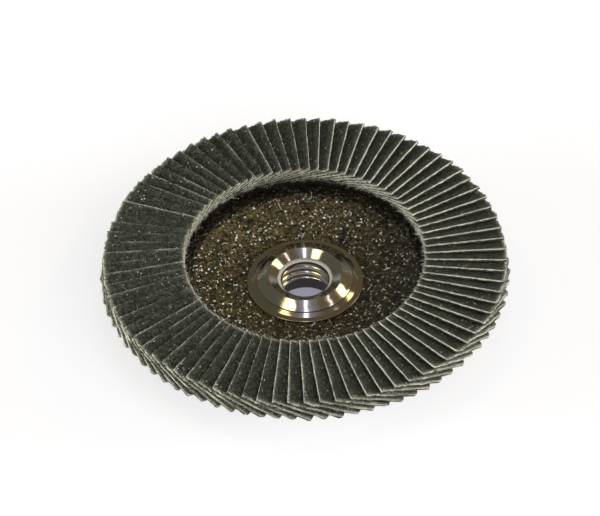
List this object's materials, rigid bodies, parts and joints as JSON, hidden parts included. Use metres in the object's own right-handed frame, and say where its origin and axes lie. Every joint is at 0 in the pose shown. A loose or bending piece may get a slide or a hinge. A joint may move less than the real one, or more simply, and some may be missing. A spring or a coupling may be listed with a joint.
{
  "type": "abrasive flap disc",
  "caption": "Abrasive flap disc: a ring of overlapping coated cloth flaps on a depressed-centre resin plate, clamped by a threaded steel hub.",
  "frame": {"origin": "centre of the hub's rear face, which the disc stands on", "axes": "+Z along the spindle axis, from the hub's rear face towards the working side of the flaps"},
  "size_m": [0.1174, 0.1174, 0.0225],
  "materials": {
    "coated_cloth": "dark grey-green abrasive grain on cream cloth backing",
    "resin_plate": "glass-fibre plate in dark amber resin, coarse and glossy",
    "adhesive": "cured amber adhesive",
    "plated_steel": "bright plated steel"
  },
  "bodies": {
    "root": {"threaded_hub": "plated_steel", "front_flange": "plated_steel", "backing_plate": "resin_plate", "adhesive_bed": "adhesive", "flap_pair_01": "coated_cloth", "flap_pair_02": "coated_cloth", "flap_pair_03": "coated_cloth", "flap_pair_04": "coated_cloth", "flap_pair_05": "coated_cloth", "flap_pair_06": "coated_cloth", "flap_pair_07": "coated_cloth", "flap_pair_08": "coated_cloth", "flap_pair_09": "coated_cloth", "flap_pair_10": "coated_cloth", "flap_pair_11": "coated_cloth", "flap_pair_12": "coated_cloth", "flap_pair_13": "coated_cloth", "flap_pair_14": "coated_cloth", "flap_pair_15": "coated_cloth", "flap_pair_16": "coated_cloth", "flap_pair_17": "coated_cloth", "flap_pair_18": "coated_cloth", "flap_pair_19": "coated_cloth", "flap_pair_20": "coated_cloth", "flap_pair_21": "coated_cloth", "flap_pair_22": "coated_cloth", "flap_pair_23": "coated_cloth", "flap_pair_24": "coated_cloth", "flap_pair_25": "coated_cloth", "flap_pair_26": "coated_cloth", "flap_pair_27": "coated_cloth", "flap_pair_28": "coated_cloth", "flap_pair_29": "coated_cloth", "flap_pair_30": "coated_cloth", "flap_pair_31": "coated_cloth", "flap_pair_32": "coated_cloth", "flap_pair_33": "coated_cloth", "flap_pair_34": "coated_cloth", "flap_pair_35": "coated_cloth", "flap_pair_36": "coated_cloth", "flap_pair_37": "coated_cloth", "flap_pair_38": "coated_cloth", "flap_pair_39": "coated_cloth", "flap_pair_40": "coated_cloth", "flap_pair_41": "coated_cloth"}
  },
  "joints": []
}
